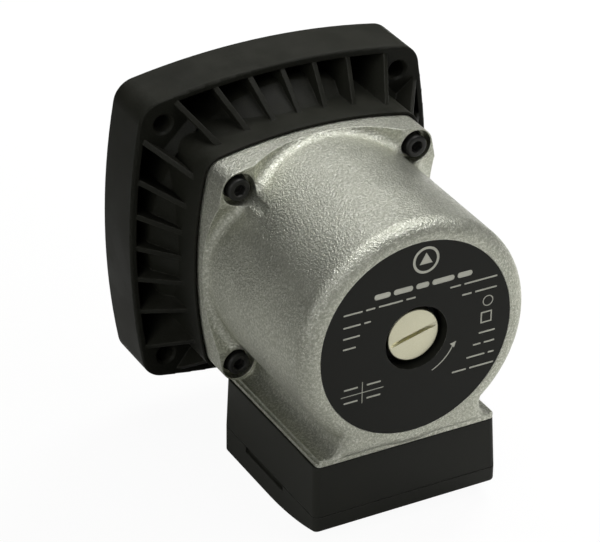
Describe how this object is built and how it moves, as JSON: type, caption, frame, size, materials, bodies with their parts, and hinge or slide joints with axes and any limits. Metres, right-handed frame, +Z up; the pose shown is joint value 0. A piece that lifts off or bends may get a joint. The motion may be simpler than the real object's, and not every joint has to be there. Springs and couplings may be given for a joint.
{
  "type": "circulator pump",
  "caption": "Wet-rotor circulator pump head: round cast motor, ribbed square mounting flange, slotted vent plug and a terminal box under the motor.",
  "frame": {"origin": "on the pump axis, in the plane of the casing's mounting face, at the centre of its four fixing holes", "axes": "+Y out of the mounting face towards the boiler's manifold, so the motor points to -Y; +Z up, away from the terminal box; +X to the right seen from the motor's front"},
  "size_m": [0.12, 0.1191, 0.1356],
  "materials": {
    "black_moulding": "fine-grained moulded composite, black",
    "cast_aluminium": "sand-textured die casting, unpainted",
    "black_steel": "black-oxide steel",
    "zinc_steel": "zinc plated",
    "brass": "turned brass",
    "seal_rubber": "black EPDM",
    "lamination_steel": "stacked laminations",
    "copper_wire": "enamelled copper wire",
    "slot_insulation": "insulating film",
    "stainless_steel": "drawn stainless",
    "ceramic": "sintered ceramic",
    "carbon": "resin-bonded carbon",
    "cage_aluminium": "cast rotor cage",
    "impeller_composite": "glass-filled moulding",
    "nameplate_black": "satin black printed plate",
    "nickel_plating": "satin nickel",
    "box_plastic": "fine-grained black moulding",
    "terminal_plastic": "light grey moulding",
    "capacitor_case": "white plastic can",
    "lead_insulation": "silicone insulation"
  },
  "bodies": {
    "root": {"pump_casing": "black_moulding", "casing_inserts": "brass", "casing_face_seal": "seal_rubber", "stator_housing": "cast_aluminium", "housing_screws": "black_steel", "screw_washers": "black_steel", "stator_core": "lamination_steel", "stator_windings": "copper_wire", "end_insulators": "slot_insulation", "rotor_can": "stainless_steel", "can_seal": "seal_rubber", "vent_neck": "brass", "neck_seal": "seal_rubber", "bearing_plate": "stainless_steel", "rear_bearing": "ceramic", "front_bearing": "ceramic", "thrust_bearing": "carbon", "nameplate": "nameplate_black", "box_gasket": "seal_rubber", "terminal_box": "box_plastic", "box_screws": "zinc_steel", "earth_screw": "zinc_steel", "terminal_block": "terminal_plastic", "terminal_screws": "brass", "capacitor": "capacitor_case", "capacitor_clip": "box_plastic", "capacitor_leads": "lead_insulation", "motor_leads": "lead_insulation", "lead_bush": "seal_rubber", "cable_grommet": "seal_rubber"},
    "rotor": {"shaft": "stainless_steel", "rotor_core": "lamination_steel", "rotor_cage": "cage_aluminium", "rotor_sleeve": "stainless_steel", "thrust_collar": "carbon", "impeller": "impeller_composite", "impeller_shroud": "impeller_composite", "impeller_cone": "stainless_steel"},
    "plug_carrier": {"plug_seal": "seal_rubber"},
    "plug": {"vent_plug": "nickel_plating"},
    "cover": {"terminal_cover": "box_plastic"}
  },
  "joints": [
    {"name": "rotor_spin", "type": "hinge", "parent": "root", "child": "rotor", "pos_m": [0, -0.06, 0], "axis": [0, 1, 0], "continuous": true},
    {"name": "plug_out", "type": "slide", "parent": "root", "child": "plug_carrier", "axis": [0, -1, 0], "range_m": [0, 0.0038]},
    {"name": "plug_turn", "type": "hinge", "parent": "plug_carrier", "child": "plug", "pos_m": [0, -0.1155, 0], "axis": [0, -1, 0], "range_deg": [0, 900]},
    {"name": "cover_off", "type": "slide", "parent": "root", "child": "cover", "axis": [0, 0, -1], "range_m": [0, 0.03]}
  ],
  "couplings": [
    {"joint": "plug_out", "follows": "plug_turn", "m_per_rad": 0.00023873}
  ]
}
